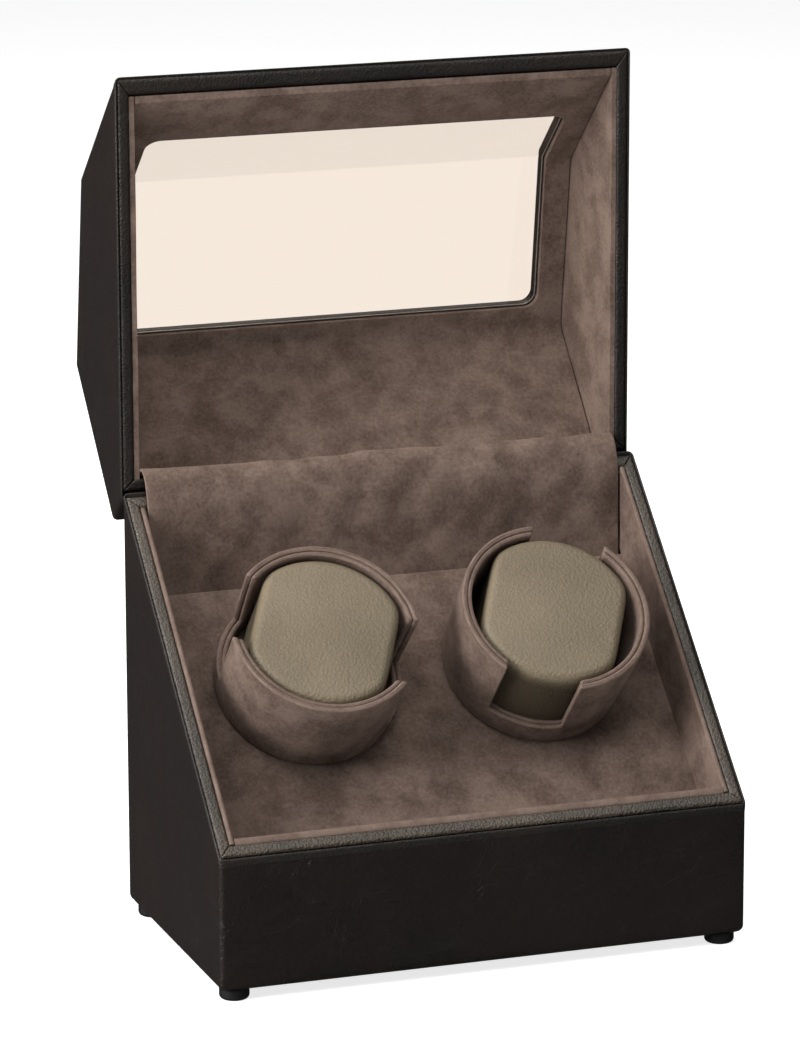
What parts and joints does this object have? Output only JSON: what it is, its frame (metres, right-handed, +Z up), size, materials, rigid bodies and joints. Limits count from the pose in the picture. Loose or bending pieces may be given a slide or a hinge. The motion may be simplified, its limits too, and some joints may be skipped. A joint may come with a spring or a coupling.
{
  "type": "watch winder box",
  "caption": "Sloping leather-covered case with a suede tray, turning suede cups that hold watch cushions, and a hinged lid with a bent clear window.",
  "frame": {"origin": "on the floor under the middle of the open box", "axes": "+Z up, the low front faces -Y, +X to the right as seen from the front"},
  "size_m": [0.25, 0.22, 0.3906],
  "materials": {
    "exterior_leather": "semi-gloss creased faux leather, near black brown",
    "rim_leather": "pebbled faux leather with a soft sheen",
    "suede": "brushed taupe suede",
    "cushion_leather": "pebbled khaki faux leather",
    "clear_acrylic": "clear polished acrylic",
    "hinge_brass": "satin brass",
    "fastener_steel": "zinc-plated steel",
    "motor_can": "drawn steel can",
    "gear_nylon": "white nylon",
    "bush_bronze": "sintered bronze",
    "foot_rubber": "black rubber",
    "black_plastic": "black moulded plastic",
    "board_green": "green glass-fibre board",
    "bare_board": "bare fibreboard"
  },
  "bodies": {
    "case": {"case_back": "exterior_leather", "case_base": "bare_board", "case_front": "exterior_leather", "case_lining_front": "suede", "case_lining_left": "suede", "case_lining_right": "suede", "case_rim_pad": "rim_leather", "case_side_left": "exterior_leather", "case_side_right": "exterior_leather", "circuit_board": "board_green", "deck_board": "suede", "deck_cleat_left": "bare_board", "deck_cleat_right": "bare_board", "feet": "foot_rubber", "foot_screws": "fastener_steel", "hinge_flap_lower": "suede", "hinge_leaf_case_left": "hinge_brass", "hinge_leaf_case_right": "hinge_brass", "hinge_pins": "hinge_brass", "hinge_screws_case": "fastener_steel", "motor_left": "motor_can", "motor_plate": "fastener_steel", "motor_right": "motor_can", "plate_screws": "fastener_steel", "plate_standoffs": "fastener_steel", "power_inlet": "black_plastic", "program_switches": "black_plastic", "spindle_bushes": "bush_bronze"},
    "lid": {"hinge_flap_upper": "suede", "hinge_leaf_lid_left": "hinge_brass", "hinge_leaf_lid_right": "hinge_brass", "hinge_screws_lid": "fastener_steel", "lid_back": "exterior_leather", "lid_front": "exterior_leather", "lid_lining_left": "suede", "lid_lining_right": "suede", "lid_lining_wrap": "suede", "lid_rim_pad": "rim_leather", "lid_side_left": "exterior_leather", "lid_side_right": "exterior_leather", "lid_top": "exterior_leather", "lid_window_frame": "exterior_leather", "window_pane": "clear_acrylic"},
    "cup_left": {"cup_liner_left": "suede", "cup_wrap_left": "suede", "drive_gear_left": "gear_nylon", "spindle_left": "fastener_steel"},
    "cup_right": {"cup_liner_right": "suede", "cup_wrap_right": "suede", "drive_gear_right": "gear_nylon", "spindle_right": "fastener_steel"},
    "cushion_left": {"cushion_left": "cushion_leather"},
    "cushion_right": {"cushion_right": "cushion_leather"},
    "pinion_left": {"pinion_left": "gear_nylon"},
    "pinion_right": {"pinion_right": "gear_nylon"},
    "knob_left": {"program_knob_left": "black_plastic"},
    "knob_right": {"program_knob_right": "black_plastic"}
  },
  "joints": [
    {"name": "lid_hinge", "type": "hinge", "parent": "case", "child": "lid", "pos_m": [0, 0.03345, 0.19725], "axis": [-1, 0, 0], "range_deg": [-133.08, 0]},
    {"name": "cup_spin_left", "type": "hinge", "parent": "case", "child": "cup_left", "pos_m": [-0.0551, -0.01741, 0.11486], "axis": [0, -0.6829, 0.7305], "continuous": true},
    {"name": "pinion_spin_left", "type": "hinge", "parent": "case", "child": "pinion_left", "pos_m": [-0.0551, -0.03582, 0.09766], "axis": [0, -0.6829, 0.7305], "continuous": true},
    {"name": "cushion_lift_left", "type": "slide", "parent": "cup_left", "child": "cushion_left", "axis": [0, -0.6829, 0.7305], "range_m": [0, 0.05]},
    {"name": "program_knob_turn_left", "type": "hinge", "parent": "case", "child": "knob_left", "pos_m": [-0.03, 0.03305, 0.0395], "axis": [0, 1, 0], "range_deg": [0, 270]},
    {"name": "cup_spin_right", "type": "hinge", "parent": "case", "child": "cup_right", "pos_m": [0.0551, -0.01741, 0.11486], "axis": [0, -0.6829, 0.7305], "continuous": true},
    {"name": "pinion_spin_right", "type": "hinge", "parent": "case", "child": "pinion_right", "pos_m": [0.0551, -0.03582, 0.09766], "axis": [0, -0.6829, 0.7305], "continuous": true},
    {"name": "cushion_lift_right", "type": "slide", "parent": "cup_right", "child": "cushion_right", "axis": [0, -0.6829, 0.7305], "range_m": [0, 0.05]},
    {"name": "program_knob_turn_right", "type": "hinge", "parent": "case", "child": "knob_right", "pos_m": [0.03, 0.03305, 0.0395], "axis": [0, 1, 0], "range_deg": [0, 270]}
  ],
  "couplings": [
    {"joint": "pinion_spin_left", "follows": "cup_spin_left", "ratio": -3},
    {"joint": "pinion_spin_right", "follows": "cup_spin_right", "ratio": -3}
  ]
}
